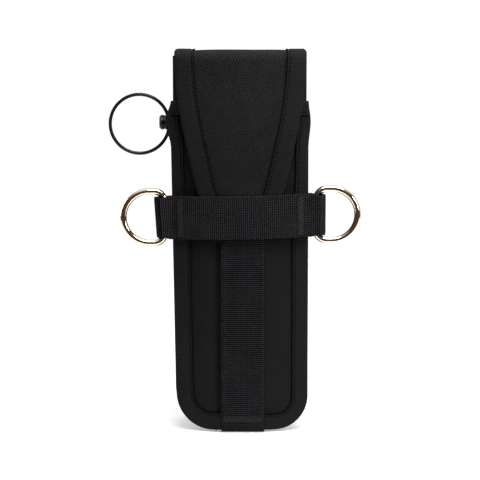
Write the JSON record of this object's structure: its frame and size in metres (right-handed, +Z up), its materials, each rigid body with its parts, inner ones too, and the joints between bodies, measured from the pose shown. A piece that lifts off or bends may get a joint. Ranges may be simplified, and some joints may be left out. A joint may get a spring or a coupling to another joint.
{
  "type": "compact breathing air set in belt holster",
  "caption": "Slim breathing air set standing in a black nylon belt holster with a tucked flap, keeper strap, side D-rings and a pull ring.",
  "frame": {"origin": "underside of the load strip, below the axis of the air cylinder", "axes": "+X to the wearer's right when seen from the front, +Y from the front to the back panel, +Z up"},
  "size_m": [0.2205, 0.0784, 0.333],
  "materials": {
    "nylon_cloth": "woven",
    "lining_cloth": "woven",
    "foam": "matte",
    "webbing": "ribbed",
    "binding_tape": "ribbed",
    "thread": "twisted",
    "hook_and_loop": "pile",
    "stiffener_board": "matte",
    "nickel_plate": "polished",
    "dark_wire": "satin",
    "black_anodised": "satin",
    "cylinder_skin": "satin",
    "valve_plate": "satin",
    "raw_brass": "machined",
    "steel": "brushed",
    "black_rubber": "matte",
    "black_plastic": "fine texture",
    "yellow_plastic": "moulded",
    "dial_face": "matte",
    "lens": "clear"
  },
  "bodies": {
    "holster": {"back_shell": "nylon_cloth", "back_stiffener": "stiffener_board", "back_lining": "lining_cloth", "back_binding": "binding_tape", "gusset": "nylon_cloth", "front_shell": "nylon_cloth", "front_foam": "foam", "front_lining": "lining_cloth", "front_binding": "binding_tape", "mouth_binding": "binding_tape", "loop_patch": "hook_and_loop", "front_strip": "webbing", "belt_loop": "webbing", "keeper_strap": "webbing", "ring_tab_left": "webbing", "ring_tab_right": "webbing", "keeper_bartacks": "thread", "strip_bartack": "thread", "belt_loop_bartacks": "thread", "air_cylinder": "cylinder_skin", "cylinder_boot": "black_rubber", "neck_oring": "black_rubber", "valve_body": "valve_plate", "burst_plug": "raw_brass", "fill_plug": "raw_brass", "gland_nut": "valve_plate", "gland_oring": "black_rubber", "valve_seat": "raw_brass", "gauge_case": "black_anodised", "gauge_dial": "dial_face", "gauge_lens": "lens", "gauge_bezel": "valve_plate", "regulator_housing": "black_plastic", "inlet_nozzle": "raw_brass", "diaphragm": "black_rubber", "regulator_cover": "black_plastic", "cover_screws": "steel", "purge_spring": "steel", "exhaust_valve": "black_rubber", "exhaust_cover": "black_plastic", "mouthpiece": "black_rubber", "mouthpiece_clamp": "black_plastic"},
    "flap_top": {"flap_top_shell": "nylon_cloth", "flap_top_lining": "lining_cloth", "flap_top_bindings": "binding_tape"},
    "flap_front": {"flap_front_shell": "nylon_cloth", "flap_front_foam": "foam", "flap_front_lining": "lining_cloth", "flap_binding_left": "binding_tape", "flap_binding_right": "binding_tape", "flap_tongue": "nylon_cloth", "hook_patch": "hook_and_loop"},
    "left_ring": {"d_ring_left": "nickel_plate"},
    "right_ring": {"d_ring_right": "nickel_plate"},
    "plunger": {"pull_plunger": "black_anodised"},
    "pull_ring_body": {"pull_ring": "dark_wire"},
    "purge": {"purge_button": "yellow_plastic", "diaphragm_plate": "steel"},
    "lever": {"demand_lever": "steel"},
    "pointer": {"gauge_pointer": "dark_wire"}
  },
  "joints": [
    {"name": "flap_open", "type": "hinge", "parent": "holster", "child": "flap_top", "pos_m": [0, 0.032, 0.3294], "axis": [-1, 0, 0], "range_deg": [0, 110], "deforming": ["flap_tongue", "hook_patch"]},
    {"name": "flap_unfold", "type": "hinge", "parent": "flap_top", "child": "flap_front", "pos_m": [0, -0.0331, 0.333], "axis": [-1, 0, 0], "range_deg": [0, 55], "deforming": ["flap_tongue", "hook_patch"]},
    {"name": "left_ring_swing", "type": "hinge", "parent": "holster", "child": "left_ring", "pos_m": [-0.066, -0.0226, 0.1898], "axis": [0, 0, 1], "range_deg": [-95, 100]},
    {"name": "right_ring_swing", "type": "hinge", "parent": "holster", "child": "right_ring", "pos_m": [0.066, -0.0226, 0.1922], "axis": [0, 0, -1], "range_deg": [-95, 100]},
    {"name": "plunger_pull", "type": "slide", "parent": "holster", "child": "plunger", "axis": [-1, 0, 0], "range_m": [0, 0.0044]},
    {"name": "pull_ring_swing", "type": "hinge", "parent": "plunger", "child": "pull_ring_body", "pos_m": [-0.0627, 0, 0.271], "axis": [0, 0, 1], "range_deg": [-86, 66]},
    {"name": "purge_press", "type": "slide", "parent": "holster", "child": "purge", "axis": [0, 0, -1], "range_m": [0, 0.0014], "stiffness_N_per_m": 800, "deforming": ["purge_spring"]},
    {"name": "lever_tip", "type": "hinge", "parent": "holster", "child": "lever", "pos_m": [-0.011, 0, 0.2956], "axis": [0, 1, 0], "range_deg": [0, 7.2]},
    {"name": "pointer_turn", "type": "hinge", "parent": "holster", "child": "pointer", "pos_m": [0.0496, 0, 0.271], "axis": [1, 0, 0], "range_deg": [-135, 135]}
  ],
  "couplings": [
    {"joint": "flap_unfold", "follows": "flap_open", "ratio": 0.5},
    {"joint": "lever_tip", "follows": "purge_press", "rad_per_m": 87.7}
  ]
}
